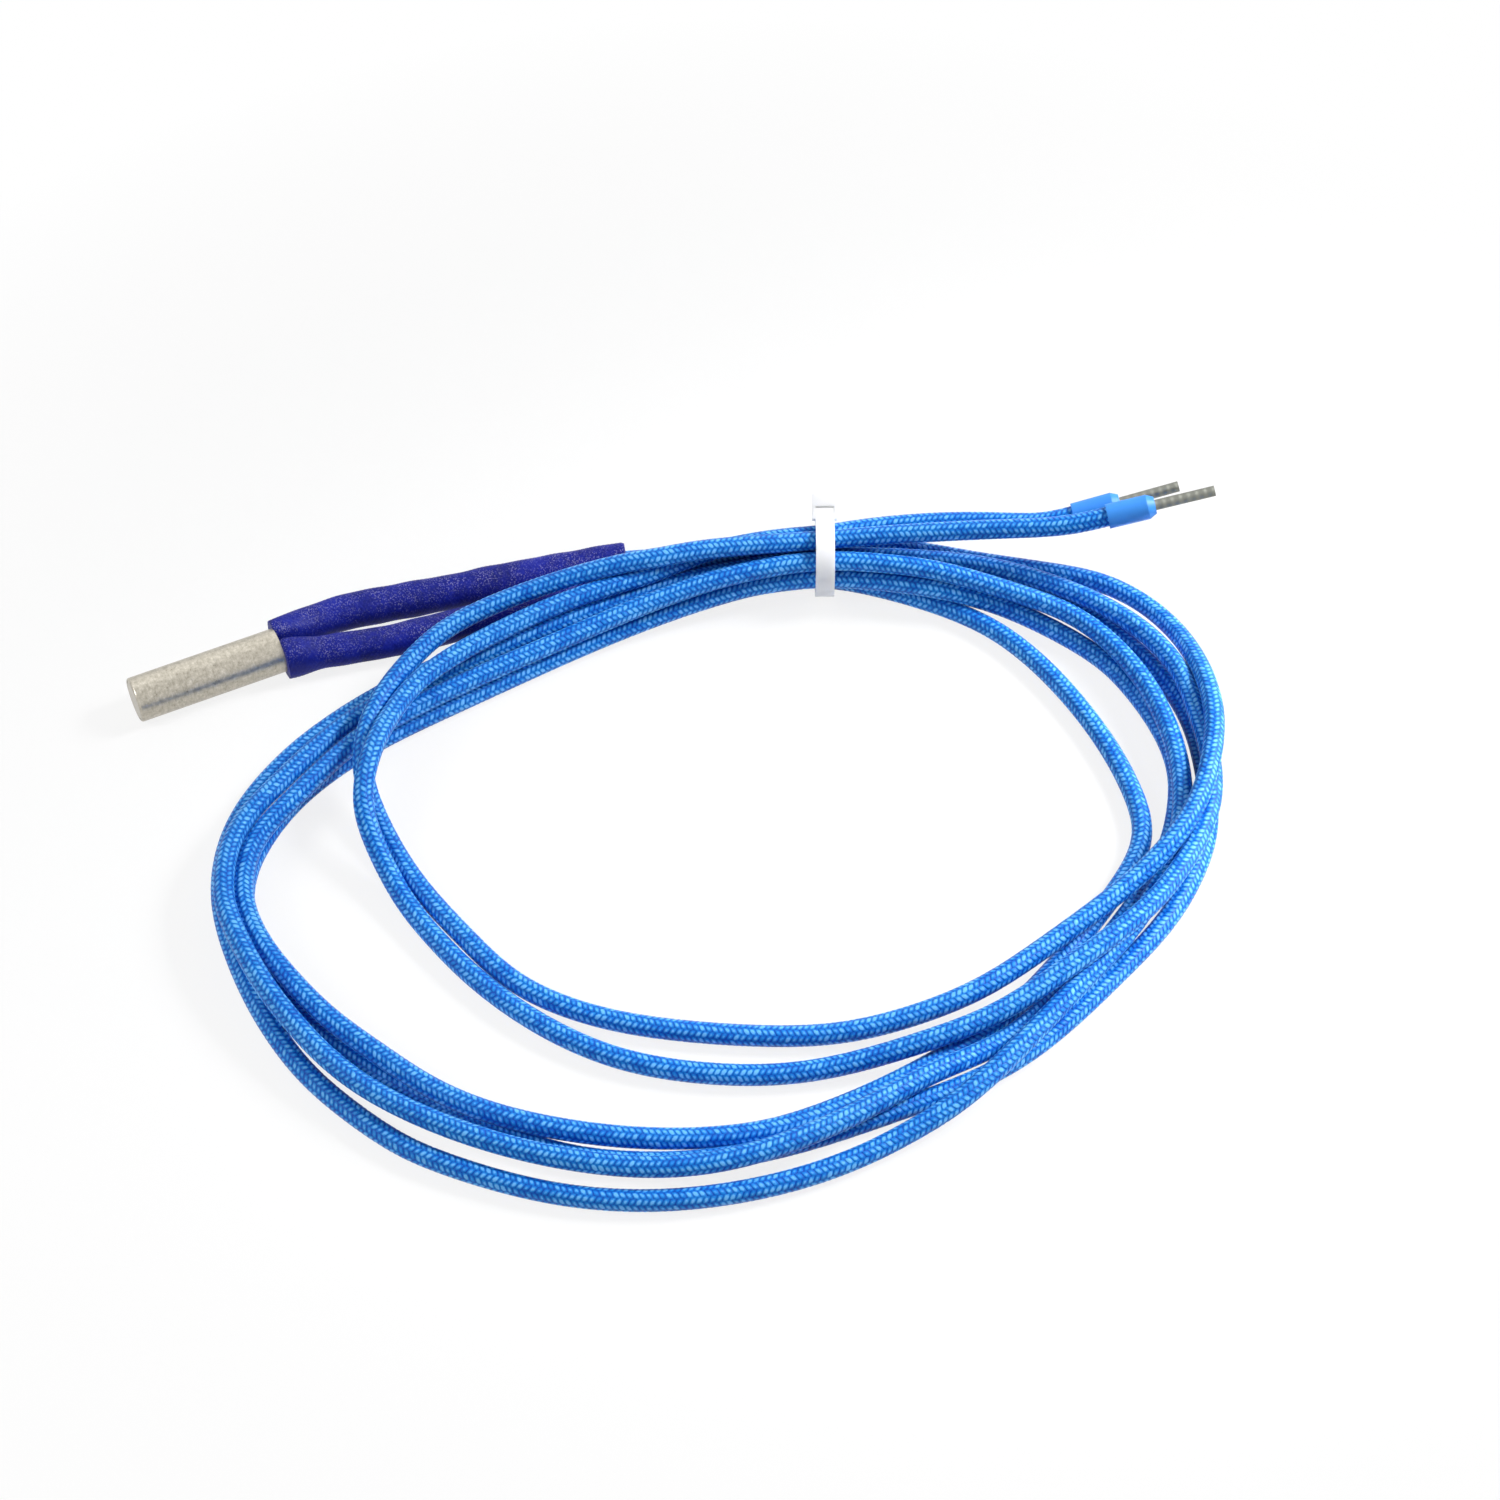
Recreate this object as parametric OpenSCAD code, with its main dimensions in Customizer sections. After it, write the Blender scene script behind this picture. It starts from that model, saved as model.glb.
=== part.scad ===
// Cartridge heater lying on a table, with two braided leads wound in loose turns and tied once.
// Millimetres, +Z up. The sheath lies along X with its closed end at -X; the table is z = 0.

/* [Sheath] */
// outside diameter of the sheath
sheath_d = 6; // [5:0.1:8]
// length of the sheath
sheath_len = 20; // [18:0.5:30]
// wall of the drawn tube
sheath_wall = 0.35; // [0.25:0.05:0.6]
// rounding of the closed end
tip_round = 0.3; // [0.1:0.05:0.6]
// thickness of the welded closing disc
disc_t = 0.8; // [0.5:0.1:1.5]
// depth of the weld groove around the disc
weld_groove = 0.12; // [0.05:0.01:0.25]

/* [Inside] */
// thickness of the pad behind the disc
pad_t = 1.2; // [0.6:0.1:2]
// room around the ceramic core for wire and powder
winding_room = 0.65; // [0.6:0.05:0.9]
// diameter of the resistance wire
wire_d = 0.25; // [0.15:0.01:0.3]
// turns of the resistance wire
coil_turns = 14; // [8:1:20]
// bare core at each end of the winding
core_margin = 1.2; // [0.8:0.1:2]
// diameter of the terminal pins
terminal_d = 0.8; // [0.6:0.05:0.85]
// distance between the terminal pins, as a share of the core's diameter
terminal_spread = 0.65; // [0.58:0.01:0.68]
// length of the cement plug at the lead end
seal_len = 3.5; // [2.5:0.1:5]

/* [Leads] */
// diameter over the braid
lead_d = 2.5; // [2.2:0.05:2.5]
// distance between the leads where they leave the sheath
lead_pitch = 3.2; // [3.1:0.05:3.4]

/* [Sleeves] */
// outside diameter of a sleeve
sleeve_d = 4.2; // [3.8:0.1:4.2]
// reach of a pressed sleeve past the sheath's side
lobe_spread = 0.9; // [0.6:0.1:1.3]
// drop of a pressed sleeve below the sheath's top
lobe_inset = 0.15; // [0.1:0.05:0.5]
// length over which a pressed sleeve grows round
lobe_run = 6; // [4:0.5:9]
// reach of the sleeve on lead a, along X
sleeve_reach_a = 44; // [38:0.5:46]
// reach of the sleeve on lead b, along X
sleeve_reach_b = 48; // [38:0.5:50]

/* [Ferrules] */
// outside diameter of the collar
collar_d = 3.3; // [3.1:0.05:3.8]
// length of the collar
collar_len = 6.4; // [6:0.1:7]
// length of lead inside the collar
collar_cover = 3.9; // [3.5:0.1:4.2]
// outside diameter of the tinned tube
ferrule_d = 1.4; // [1.3:0.05:1.7]
// growth in radius of the tube's funnel inside the collar
ferrule_flare = 0.4; // [0.2:0.05:0.5]
// wall of the tinned tube
ferrule_wall = 0.15; // [0.1:0.01:0.2]
// length of the tube beyond the collar
ferrule_len = 8; // [6:0.5:12]
// diameter of the bared conductor
conductor_d = 0.9; // [0.7:0.05:0.95]

/* [Tie] */
// inside diameter of the closed loop
tie_bore = 9.15; // [9.15:0.05:9.5]
// width of the strap
tie_w = 2.5; // [2:0.1:2.8]
// thickness of the strap
tie_t = 0.75; // [0.6:0.05:0.9]
// width of the head
tie_head_w = 3.3; // [3:0.1:4.5]
// length of the head along the strap
tie_head_l = 3.6; // [3:0.1:5]
// height of the head
tie_head_h = 3; // [2.5:0.1:4]
// height of the slot in the head
tie_slot = 0.9; // [0.8:0.05:1.2]
// direction of the head around the loop, above the level on the side away from the turns
tie_head_angle = 40; // [0:5:80]

/* [Hidden] */
$fn = 48;
// clearance between fitted round faces
fit = 0.05;
axis_z = sheath_d / 2;
x_tip = -sheath_len / 2;
x_lead = sheath_len / 2;
bore_d = sheath_d - 2 * sheath_wall;
x_pad = x_tip + disc_t;
x_core = x_pad + pad_t;
x_seal = x_lead - seal_len;
core_len = x_seal - x_core;
core_d = bore_d - 2 * winding_room;
terminal_pitch = terminal_spread * core_d;
coil_sides = 6;
coil_steps = 14;
// the winding's straight steps stay clear of the core
coil_r = (core_d / 2 + fit) / cos(180 / coil_steps) + wire_d / 2;
fill_bore = 2 * coil_r + wire_d + 2 * fit;
lead_sides = 8;
sleeve_sides = 20;
// sleeves part a little where they press on each other
lobe_part = 0.1;
lobe_w = sheath_d + 2 * lobe_spread;
lobe_h = sheath_d - 2 * lobe_inset;
sleeve_bore = lead_d + 4 * fit;
neck_len = collar_len - collar_cover - 2 * fit;
// the routes below are drawn for a sheath that ends at this x
route_x = 10;
shift = [x_lead - route_x, 0, 0];
// middle of the tied bundle and the way it runs
tie_at = [81, -18.5, 5.4];
tie_turn = -26;

// lead a: out of the front sleeve, three turns, to the front ferrule
route_a = [
    [route_x, -lead_pitch / 2, axis_z],
    [15, -2.7, 2.9], [20, -3.6, 2.5], [26, -4.7, 2.2], [33, -5.4, 2.1], [43, -6.2, 2.1],
    [53, -7.7, 2.1], [61, -8.9, 1.4], [70.5, -13.6, 1.6], [80.4, -19.7, 2.9], [86.5, -24, 1.9],
    [92, -29.5, 1.4], [97.5, -37.5, 1.4], [100, -49, 1.4], [100.4, -60, 1.4], [99.4, -68, 1.4],
    [97.4, -74.8, 1.4], [93, -79.6, 1.4], [83, -85.4, 1.4], [75.5, -89.2, 1.4],
    [66.5, -92.9, 1.4], [52, -95.1, 1.4], [40, -95, 1.4], [32, -93.8, 1.6], [20, -89.2, 2.6],
    [8.6, -81.6, 3.8], [2, -74, 3.9], [-1.6, -66.8, 3.7], [-5.6, -58.8, 3.8], [-7.6, -51.6, 4],
    [-8.9, -45, 4.1], [-8.8, -37.8, 4.1], [-5.9, -32, 4.1], [-2.4, -28.2, 4.1],
    [3.1, -25.2, 4.1], [12.5, -20, 4.1], [19.5, -18.5, 4.1], [28.5, -17, 4.1], [40.5, -16, 4.1],
    [52.5, -15.4, 4.6], [64, -16.2, 6.1], [73, -18.4, 7], [79.9, -20.7, 7.3],
    [86.5, -24.5, 7.3], [93, -28.5, 6.8], [99.5, -33.5, 4.9], [105.5, -39.5, 3.9],
    [108, -45.5, 3.7], [108.8, -51.7, 3.9], [108.7, -57.7, 3.9], [106.9, -66.5, 4],
    [103.2, -74.4, 4], [98.4, -80.9, 3.6], [91, -86.4, 3.3], [84.5, -90.3, 3.6], [77, -93.7, 4],
    [66, -98.6, 4.2], [57, -101.6, 3.2], [49, -102, 1.5], [42, -102.4, 1.4],
    [32.5, -101.5, 1.4], [20.5, -98, 1.4], [9, -91.5, 1.4], [-1, -81.5, 1.4], [-5, -76, 1.4],
    [-9, -67.5, 1.4], [-11, -61, 1.4], [-12.2, -52, 1.4], [-12, -43, 1.4], [-10.8, -34.5, 1.4],
    [-7.3, -27.2, 1.4], [-2.5, -21.6, 1.4], [4.5, -17, 1.4], [10.5, -14.4, 1.4],
    [18.5, -12, 1.4], [29.5, -10.3, 1.4], [40, -10.6, 1.4], [51, -11.5, 1.6], [60.3, -10.3, 4],
    [71.3, -12.2, 4.8], [82.3, -15.8, 4.9], [89.5, -19, 3.9], [96, -22.8, 3], [100.5, -26, 2.4],
    [109, -32.4, 2.4], [113.5, -36.5, 2.4], [116.5, -42, 2.4], [117.5, -47.5, 2.8],
    [117, -53, 4.1], [115.5, -59, 5.7], [113.2, -64.8, 6.7], [110.2, -69.8, 6.9],
    [104, -77, 7.1], [97, -81.4, 6.6], [88.9, -84.2, 5], [77, -87, 4.4], [68.5, -88.8, 4.2],
    [60.8, -88.8, 3.4], [50.5, -86.7, 1.8], [42, -83, 1.4], [31, -76.5, 1.4],
    [23.5, -70.5, 1.4], [17, -62.5, 1.4], [14.5, -53.5, 1.4], [12.5, -46, 1.4],
    [11.5, -38.5, 1.4], [11.3, -31, 2.6], [11.8, -26, 4.6], [13.8, -21.8, 6.6],
    [17.2, -17.8, 7], [21, -14.6, 6.9], [25.6, -11.8, 6.9], [32, -9, 7], [43.8, -8.8, 7.7],
    [54.3, -11, 9.4], [59.5, -12.5, 9.5], [65.2, -13.3, 9.3], [75, -16.4, 8.8],
    [81, -18.5, 8.5], [86, -20.5, 8.9], [95, -24.9, 9.8], [102, -28.9, 11], [109, -32.8, 11.8],
    [114.4, -34.8, 13.1], [118, -36.1, 14],
];
// lead b: out of the back sleeve, three turns, to the back ferrule
route_b = [
    [route_x, lead_pitch / 2, axis_z],
    [15, 2.8, 2.9], [20, 2.9, 2.6], [25, 2.2, 2.3], [30.5, 1.3, 2.1], [36, 0.2, 2.1],
    [42, -0.9, 2.1], [49, -2.5, 2.1], [59.5, -4.6, 2.1], [71.8, -11.1, 1.6], [81.6, -17.3, 2.9],
    [88, -21.4, 1.9], [95, -25.8, 1.4], [101, -30.8, 1.4], [107, -37, 1.4], [110, -42, 1.4],
    [112.5, -51, 1.4], [112.5, -60.5, 1.4], [109.5, -69.5, 1.4], [105, -78.5, 1.4],
    [98.5, -84.5, 1.4], [93, -88.3, 1.4], [87.5, -91, 1.4], [81, -93.6, 1.4], [74.5, -96, 1.4],
    [63.5, -99.2, 1.4], [50, -98.4, 1.4], [38, -97.6, 1.4], [26.5, -95, 1.4],
    [15.5, -89.5, 1.4], [9.5, -84, 1.4], [4, -78, 1.4], [-2, -69, 1.4], [-6, -61.2, 1.4],
    [-8.6, -54, 1.4], [-9.4, -45, 1.4], [-8.6, -37.7, 1.4], [-5.8, -30.9, 1.4],
    [2.7, -23.6, 1.4], [12.5, -20, 1.4], [19.5, -18.5, 1.4], [26, -17.7, 1.4],
    [34.5, -16.8, 1.4], [46, -15.8, 1.5], [58, -15.7, 2.2], [69, -17.3, 3.6], [74, -19.1, 4.2],
    [79.6, -21.3, 4.7], [86, -25, 4.6], [92.5, -29.7, 4.5], [99.5, -34, 2.1],
    [104.5, -41.5, 1.4], [107.1, -47.5, 1.4], [108, -52.5, 1.4], [108.1, -60, 1.4],
    [106.7, -67.6, 1.4], [102.8, -74, 1.4], [97.4, -80, 1.4], [89.6, -85.2, 1.4],
    [76.5, -92, 1.4], [66, -95.9, 1.5], [55, -96.5, 3.5], [45, -98.5, 4.2], [30, -98, 4],
    [18, -93.5, 4], [5.5, -84, 4], [-3.5, -73, 4], [-7.5, -65, 4.1], [-9.5, -58.5, 4.5],
    [-11, -52, 5.1], [-11.4, -45.5, 5.4], [-11.3, -40.5, 5.4], [-10.6, -36.5, 5.3],
    [-7.9, -30.7, 5.6], [-3.6, -26, 5], [1.5, -22.7, 4.4], [8.1, -18.7, 3.8],
    [15.5, -15.3, 3.3], [25.5, -13.8, 3.2], [36, -13.2, 3.9], [47.7, -12.7, 4.4],
    [59.4, -13, 4.4], [70.2, -15.1, 4.8], [81, -18.5, 5.5], [88, -21.8, 5.1],
    [95.5, -25.4, 4.4], [101.8, -29.8, 4.1], [107.3, -36.2, 4.1], [110.5, -41.2, 4.1],
    [113, -47, 4.1], [114, -53, 4.1], [113.5, -58.5, 4.1], [112, -63.5, 4.1],
    [110.5, -68.5, 4.1], [106.5, -76.5, 4.5], [100, -82.2, 5.1], [95, -85.5, 5.4],
    [89.8, -88.4, 5.9], [83.2, -90.6, 6.5], [75.5, -92.2, 6], [66.2, -93.6, 4.6],
    [57.5, -92.9, 4.1], [48, -90.7, 2], [39.5, -88, 1.4], [30.5, -83, 1.4], [23, -77, 1.4],
    [17, -68.5, 1.4], [13, -59.5, 1.4], [11, -52, 1.4], [9.6, -45.5, 1.6], [9.2, -39, 3],
    [9.2, -34.5, 4.9], [10, -30.8, 6.5], [12.1, -27.4, 7.8], [14.9, -23.9, 8.2],
    [18.1, -20.6, 7.4], [23, -16.4, 6.9], [30, -14.1, 6.8], [36.5, -12.9, 6.8],
    [42.5, -12.2, 6.9], [48.3, -11.9, 6.9], [53.9, -12.1, 6.9], [59.4, -12.6, 6.9],
    [66.2, -11.9, 6.9], [75.8, -14.2, 7.3], [82, -16.6, 7.3], [87, -18, 7.7], [96, -21.6, 8.2],
    [103, -25.6, 8.8], [107.7, -28.8, 9.3], [112, -30.4, 10.3], [115.6, -31.6, 11.3],
];

// points of a smooth curve along a route, two to each stretch, no lower than the table
function curve(route) = let (n = len(route) - 1, r = eased(route),
    q = [2 * r[0] - r[1], each r, 2 * r[n] - r[n - 1]]) [
    for (i = [1 : n], half = [0, 1])
        let (p = half == 0 ? (q[i - 1] + 4 * q[i] + q[i + 1]) / 6
            : (q[i - 1] + 23 * (q[i] + q[i + 1]) + q[i + 2]) / 48)
        [p.x, p.y, max(p.z, lead_d / 2)] + shift,
    r[n] + shift
];

// a route's points eased outward, so that the smooth curve keeps to them
function eased(route) = let (n = len(route) - 1) [
    for (i = [0 : n]) i < 2 || i > n - 2 ? route[i]
        : let (e = (2 * route[i] - route[i - 2] - route[i + 2]) / 24) route[i] + [e.x, e.y, 0]
];

function unit(v) = v / norm(v);

// direction of a curve at its point i; it leaves the sheath squarely
function heading(pts, i) = i == 0 ? [1, 0, 0]
    : i == len(pts) - 1 ? unit(pts[i] - pts[i - 1])
    : unit(pts[i + 1] - pts[i - 1]);

// a ring of offsets [across, up] set square to a curve
function ring(centre, dir, offsets) = let (side = unit(cross([0, 0, 1], dir)), up = cross(dir, side))
    [for (o = offsets) centre + side * o[0] + up * o[1]];

function circle_offsets(d, sides) = [for (k = [0 : sides - 1])
    d / 2 * [cos(360 * k / sides), sin(360 * k / sides)]];

// faces between ring r and the next one, rings being n points each
function wall(first, rings, n) = [for (r = [0 : rings - 2], k = [0 : n - 1])
    let (a = first + r * n + k, b = first + r * n + (k + 1) % n) [a, b, b + n, a + n]];

function flip(face) = [for (i = [len(face) - 1 : -1 : 0]) face[i]];

// closed solid through a list of rings
module skin(rings) {
    n = len(rings[0]);
    last = (len(rings) - 1) * n;
    polyhedron([for (r = rings) each r], convexity = 10, faces = [
        each [for (f = wall(0, len(rings), n)) flip(f)],
        [for (k = [0 : n - 1]) k],
        [for (k = [n - 1 : -1 : 0]) last + k],
    ]);
}

// open pipe between outer and inner rings
module pipe(outer, inner) {
    n = len(outer[0]);
    m = len(outer);
    in0 = m * n;
    last = (m - 1) * n;
    polyhedron([each [for (r = outer) each r], each [for (r = inner) each r]], convexity = 10, faces = [
        each [for (f = wall(0, m, n)) flip(f)],
        each wall(in0, m, n),
        for (k = [0 : n - 1]) let (j = (k + 1) % n) [k, j, in0 + j, in0 + k],
        for (k = [0 : n - 1]) let (j = (k + 1) % n) [last + k, in0 + last + k, in0 + last + j, last + j],
    ]);
}

// children turned from +Z to +X and set on the sheath's axis
module on_axis(x, y = 0) {
    translate([x, y, axis_z]) rotate([0, 90, 0]) children();
}

// children turned from +Z to the way a lead ends, set a distance past its last point
module at_lead_end(route, past) {
    n = len(route) - 1;
    d = unit(route[n] - route[n - 1]);
    translate(route[n] + shift + past * d)
        rotate([0, acos(d.z), atan2(d.y, d.x)]) children();
}

module sheath_tube() color([0.72, 0.71, 0.68]) on_axis(x_tip) rotate_extrude() {
    translate([bore_d / 2, tip_round]) square([sheath_wall, sheath_len - tip_round]);
    intersection() {
        translate([bore_d / 2, 0]) square([sheath_wall, 2 * tip_round]);
        union() {
            translate([sheath_d / 2 - tip_round, tip_round]) circle(tip_round);
            square([sheath_d / 2 - tip_round, 2 * tip_round]);
        }
    }
}

module end_disc() color([0.78, 0.77, 0.75]) on_axis(x_tip) rotate_extrude()
    polygon([[0, 0], [bore_d / 2 - fit - weld_groove, 0], [bore_d / 2 - fit, weld_groove],
        [bore_d / 2 - fit, disc_t], [0, disc_t]]);

module base_pad() color([0.9, 0.88, 0.82]) on_axis(x_pad) cylinder(d = bore_d - 2 * fit, h = pad_t);

module ceramic_core() color([0.93, 0.9, 0.84]) difference() {
    on_axis(x_core) cylinder(d = core_d, h = core_len);
    for (side = [-1, 1])
        on_axis(x_core - 1, side * terminal_pitch / 2) cylinder(d = terminal_d + 2 * fit, h = core_len + 2);
}

module heating_coil() color([0.55, 0.53, 0.5]) {
    run = core_len - 2 * core_margin;
    steps = coil_turns * coil_steps;
    skin([for (i = [0 : steps])
        let (t = 360 * i / coil_steps,
            out = [0, cos(t), sin(t)],
            c = [x_core + core_margin + run * i / steps, 0, axis_z] + coil_r * out)
        [for (k = [0 : coil_sides - 1])
            let (w = 360 * k / coil_sides) c + wire_d / 2 * (cos(w) * out + sin(w) * [1, 0, 0])]]);
}

module insulation_fill() color([0.95, 0.94, 0.9]) on_axis(x_core) difference() {
    cylinder(d = bore_d - 2 * fit, h = core_len);
    translate([0, 0, -1]) cylinder(d = fill_bore, h = core_len + 2);
}

module terminal_pin(side) color([0.7, 0.68, 0.62])
    on_axis(x_core, side * terminal_pitch / 2) cylinder(d = terminal_d, h = x_lead - x_core);

module terminal_pin_a() terminal_pin(-1);
module terminal_pin_b() terminal_pin(1);

module end_seal() color([0.88, 0.86, 0.8]) difference() {
    on_axis(x_seal) cylinder(d = bore_d - 2 * fit, h = seal_len);
    for (side = [-1, 1])
        on_axis(x_seal - 1, side * terminal_pitch / 2) cylinder(d = terminal_d + 2 * fit, h = seal_len + 2);
}

function bend(t, power) = sign(t) * pow(abs(t), power);

// outline of a sleeve pressed on the sheath, out being the side away from the other sleeve
function lobe_offsets(out) = let (inner = lead_pitch / 2 - lobe_part / 2, outer = (lobe_w - lead_pitch) / 2)
    [for (k = [0 : sleeve_sides - 1])
        let (t = 360 * k / sleeve_sides, c = cos(t) * out)
        [out * (c > 0 ? outer * bend(c, 0.8) : inner * bend(c, 0.45)), lobe_h / 2 * bend(sin(t), 0.85)]];

function ease(t) = let (u = min(max(t, 0), 1)) u * u * (3 - 2 * u);

// points of a curve from its start to a reach along X, the last one set exactly there
function stretch(pts, x_end) = let (n = [for (i = [0 : len(pts) - 1]) if (pts[i].x > x_end) i][0],
    t = (x_end - pts[n - 1].x) / (pts[n].x - pts[n - 1].x))
    [for (i = [0 : n - 1]) if (i < n - 1 || t > 0.2) pts[i], pts[n - 1] + t * (pts[n] - pts[n - 1])];

// outline of a sleeve at x, pressed at the sheath and round further out
function sleeve_offsets(x, out) = let (t = ease((x - x_lead) / lobe_run),
    lobe = lobe_offsets(out), free = circle_offsets(sleeve_d, sleeve_sides))
    [for (k = [0 : sleeve_sides - 1]) (1 - t) * lobe[k] + t * free[k]];

module sleeve(route, out, reach) color([0.12, 0.1, 0.5]) {
    pts = stretch(curve(route), x_lead + reach);
    bore = circle_offsets(sleeve_bore, sleeve_sides);
    pipe([for (i = [0 : len(pts) - 1]) ring(pts[i], heading(pts, i), sleeve_offsets(pts[i].x, out))],
        [for (i = [0 : len(pts) - 1]) ring(pts[i], heading(pts, i), bore)]);
}

module sleeve_a() sleeve(route_a, -1, sleeve_reach_a);
module sleeve_b() sleeve(route_b, 1, sleeve_reach_b);

module lead(route) color([0.12, 0.42, 0.86]) {
    pts = curve(route);
    outline = circle_offsets(lead_d, lead_sides);
    skin([for (i = [0 : len(pts) - 1]) ring(pts[i], heading(pts, i), outline)]);
}

module lead_a() lead(route_a);
module lead_b() lead(route_b);

module ferrule_collar(route) color([0.3, 0.56, 0.92]) at_lead_end(route, -collar_cover) rotate_extrude() {
    step = collar_cover + fit;
    neck = ferrule_d / 2 + fit;
    taper = 0.5;
    polygon([[lead_d / 2 + 2 * fit, 0], [collar_d / 2, 0], [collar_d / 2, collar_len - 2 * taper],
        [collar_d / 2 - taper, collar_len], [neck, collar_len],
        [neck + ferrule_flare, step], [lead_d / 2 + 2 * fit, step]]);
}

module ferrule_collar_a() ferrule_collar(route_a);
module ferrule_collar_b() ferrule_collar(route_b);

module ferrule_pin(route) color([0.66, 0.65, 0.6]) at_lead_end(route, 2 * fit) rotate_extrude() {
    r = ferrule_d / 2;
    polygon([[r + ferrule_flare - ferrule_wall, 0], [r + ferrule_flare, 0], [r, neck_len],
        [r, neck_len + ferrule_len], [r - ferrule_wall, neck_len + ferrule_len], [r - ferrule_wall, neck_len]]);
}

module ferrule_pin_a() ferrule_pin(route_a);
module ferrule_pin_b() ferrule_pin(route_b);

module conductor(route) color([0.8, 0.55, 0.35]) at_lead_end(route, fit)
    cylinder(d = conductor_d, h = neck_len + ferrule_len);

module conductor_a() conductor(route_a);
module conductor_b() conductor(route_b);

module cable_tie() color([0.95, 0.95, 0.95]) {
    outer_d = tie_bore + 2 * tie_t;
    translate(tie_at + shift) rotate([0, 0, tie_turn]) rotate([90, 0, 90]) {
        difference() {
            cylinder(d = outer_d, h = tie_w, center = true);
            cylinder(d = tie_bore, h = tie_w + 2, center = true);
        }
        rotate(tie_head_angle) difference() {
            translate([tie_bore / 2 + tie_t / 2, -tie_head_l / 2, -tie_head_w / 2])
                cube([tie_head_h + tie_t / 2, tie_head_l, tie_head_w]);
            translate([outer_d / 2 + tie_slot / 2, -tie_head_l, -tie_w / 2])
                cube([tie_slot, 2 * tie_head_l, tie_w]);
            cylinder(d = tie_bore, h = 2 * tie_w, center = true);
        }
    }
}

sheath_tube();
end_disc();
base_pad();
ceramic_core();
heating_coil();
insulation_fill();
terminal_pin_a();
terminal_pin_b();
end_seal();
sleeve_a();
sleeve_b();
lead_a();
lead_b();
ferrule_collar_a();
ferrule_collar_b();
ferrule_pin_a();
ferrule_pin_b();
conductor_a();
conductor_b();
cable_tie();
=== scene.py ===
"""Looks of a cartridge heater: steel sheath, blue sleeves, braided leads in a tied loose coil."""

import math

import bpy
import numpy as np
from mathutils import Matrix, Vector


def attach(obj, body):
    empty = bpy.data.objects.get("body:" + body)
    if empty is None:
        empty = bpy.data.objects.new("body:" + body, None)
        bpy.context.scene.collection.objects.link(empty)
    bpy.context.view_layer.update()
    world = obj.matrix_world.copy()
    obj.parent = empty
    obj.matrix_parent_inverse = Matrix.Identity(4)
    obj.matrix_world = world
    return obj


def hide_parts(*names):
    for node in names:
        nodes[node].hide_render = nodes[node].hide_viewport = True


MM = 0.001

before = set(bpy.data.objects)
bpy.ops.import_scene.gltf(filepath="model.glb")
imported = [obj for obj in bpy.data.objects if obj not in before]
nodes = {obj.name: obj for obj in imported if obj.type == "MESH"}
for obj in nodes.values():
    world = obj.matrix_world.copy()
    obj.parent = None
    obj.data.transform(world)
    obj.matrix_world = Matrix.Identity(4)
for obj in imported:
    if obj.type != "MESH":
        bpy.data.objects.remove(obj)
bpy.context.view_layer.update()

# Camera at the photograph's place

cam = bpy.data.objects.new("camera", bpy.data.cameras.new("camera"))
bpy.context.scene.collection.objects.link(cam)
cam.location = (-0.05652, -0.27713, 0.31408)
aim = Vector((0.059205, -0.040353, 0.0))
cam.rotation_mode = "QUATERNION"
cam.rotation_quaternion = (aim - cam.location).to_track_quat("-Z", "Y")
cam.data.sensor_width = 36.0
cam.data.lens = 76.14
cam.data.clip_start, cam.data.clip_end = 0.01, 10.0
bpy.context.scene.camera = cam
bpy.context.scene.view_settings.view_transform = "Standard"

# Routes of the leads, in millimetres, as the solids have them

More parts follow.
